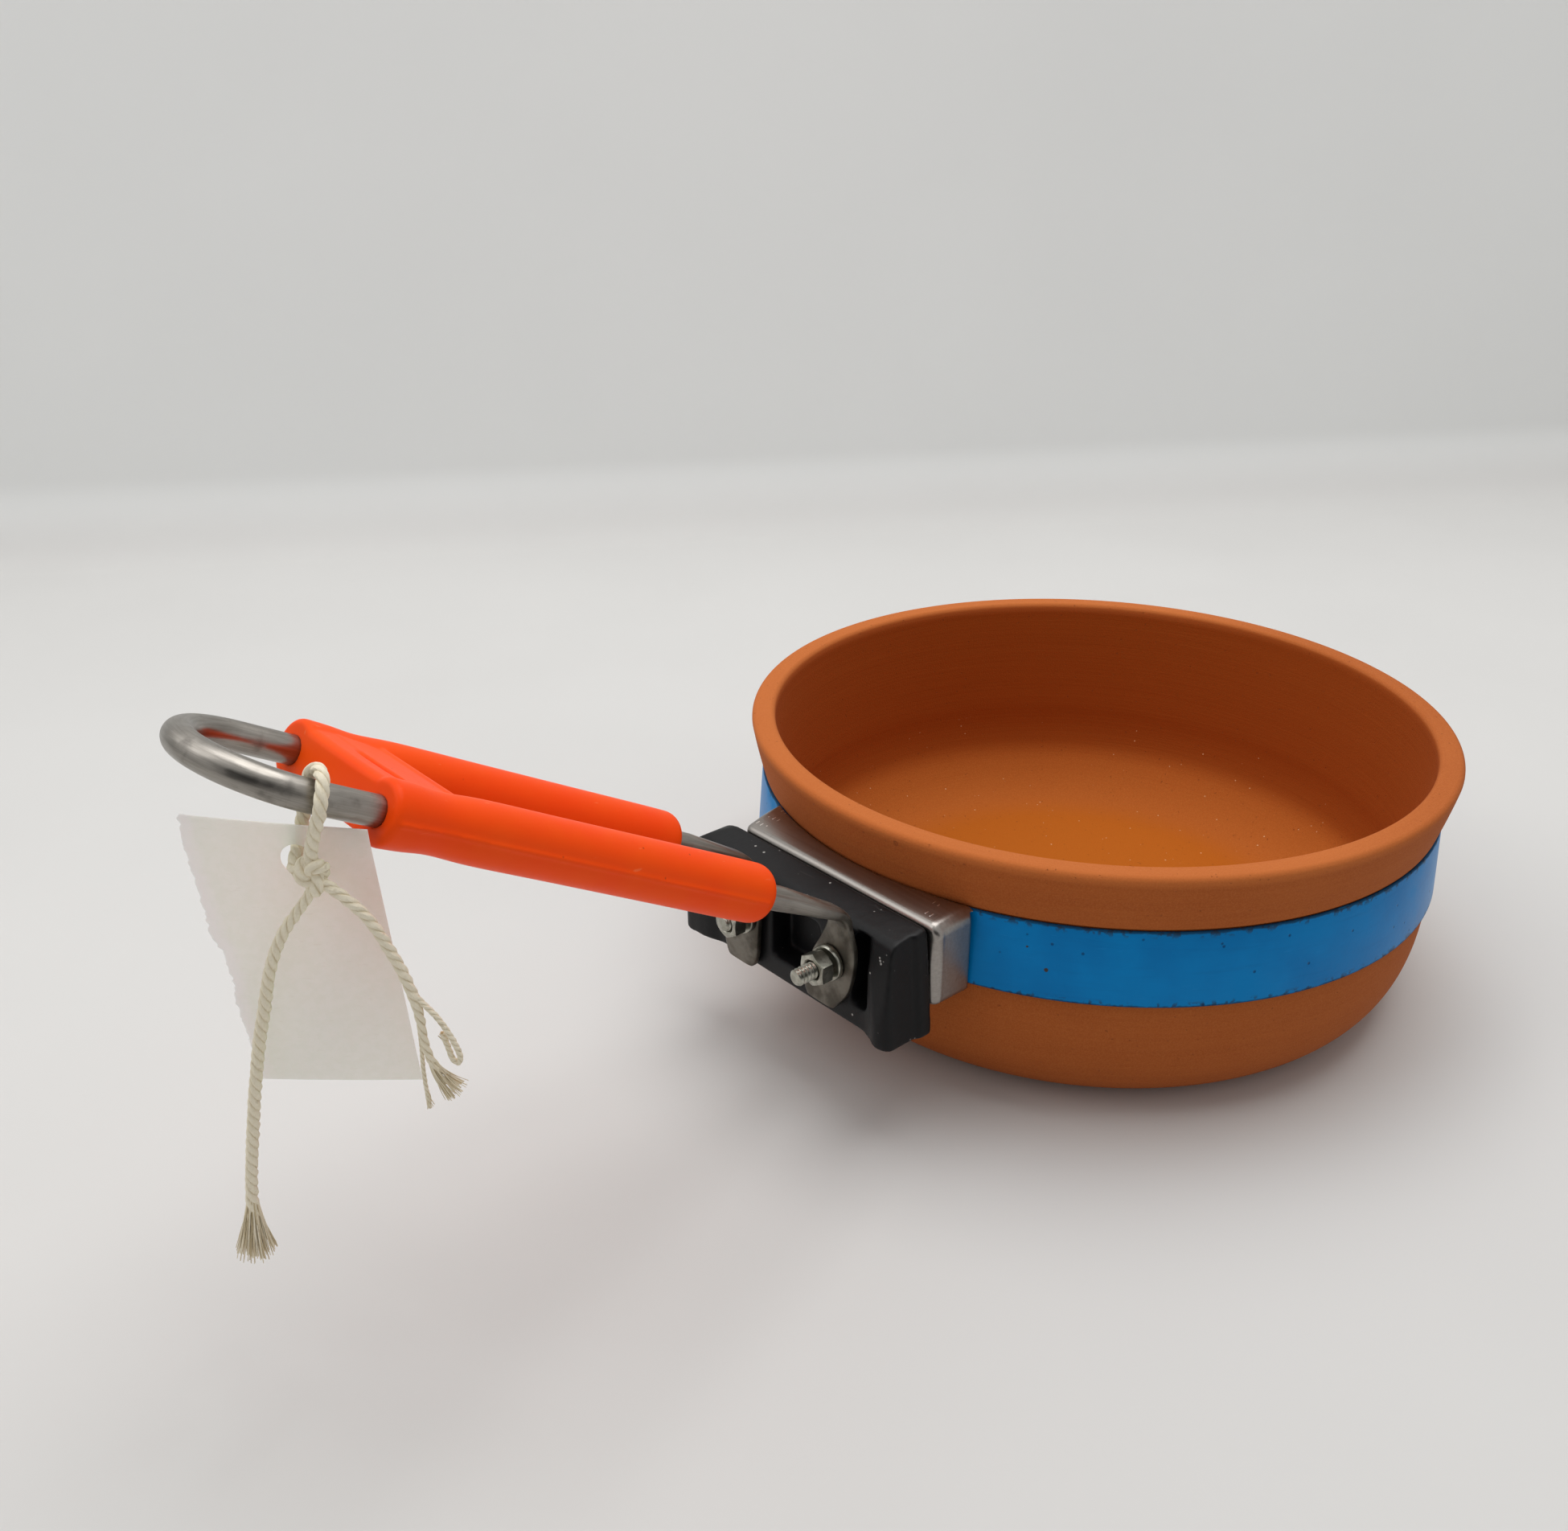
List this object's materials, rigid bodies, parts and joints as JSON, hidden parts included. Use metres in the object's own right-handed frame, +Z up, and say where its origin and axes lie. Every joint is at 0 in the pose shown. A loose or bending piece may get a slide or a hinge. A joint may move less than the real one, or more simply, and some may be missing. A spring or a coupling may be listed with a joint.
{
  "type": "clay_tea_pan",
  "caption": "Round terracotta tea pan held by a painted clamp band, with a bolted heat-proof block, a bent wire handle in a plastic grip and a blank paper tag on twine.",
  "frame": {"origin": "centre of the bowl's flat foot, on the surface that it stands on", "axes": "+Z up; the wire handle points along -X, so the longest extent runs along X; the tag hangs on the leg on the -Y side"},
  "size_m": [0.3276, 0.1806, 0.1282],
  "materials": {
    "clay": "unglazed terracotta, sandy, with fine throwing lines",
    "band_paint": "glossy blue paint on a thin steel strip",
    "stainless": "stainless sheet with tool marks",
    "phenolic": "satin black moulded phenolic",
    "wire": "dull drawn steel wire with dark streaks",
    "grip_plastic": "orange moulded plastic, satin",
    "zinc": "bright zinc-plated steel",
    "tag_paper": "off-white paper, torn down one side",
    "twine": "natural cotton, three strands"
  },
  "bodies": {
    "pan": {"clay_bowl": "clay", "clamp_band": "band_paint", "saddle_bracket": "stainless", "heat_block": "phenolic", "handle_rod": "wire", "grip": "grip_plastic", "bolt_right": "zinc", "bolt_left": "zinc", "washer_right": "zinc", "washer_left": "zinc", "nut_right": "zinc", "nut_left": "zinc"},
    "tag": {"hang_tag": "tag_paper", "twine_loop": "twine", "twine_knot": "twine", "twine_long_tail": "twine", "twine_short_tail": "twine"}
  },
  "joints": [
    {"name": "tag_swing", "type": "hinge", "parent": "pan", "child": "tag", "pos_m": [-0.21743, -0.0155, 0.1175], "axis": [-0.866, 0, 0.5], "range_deg": [-45, 80]}
  ]
}
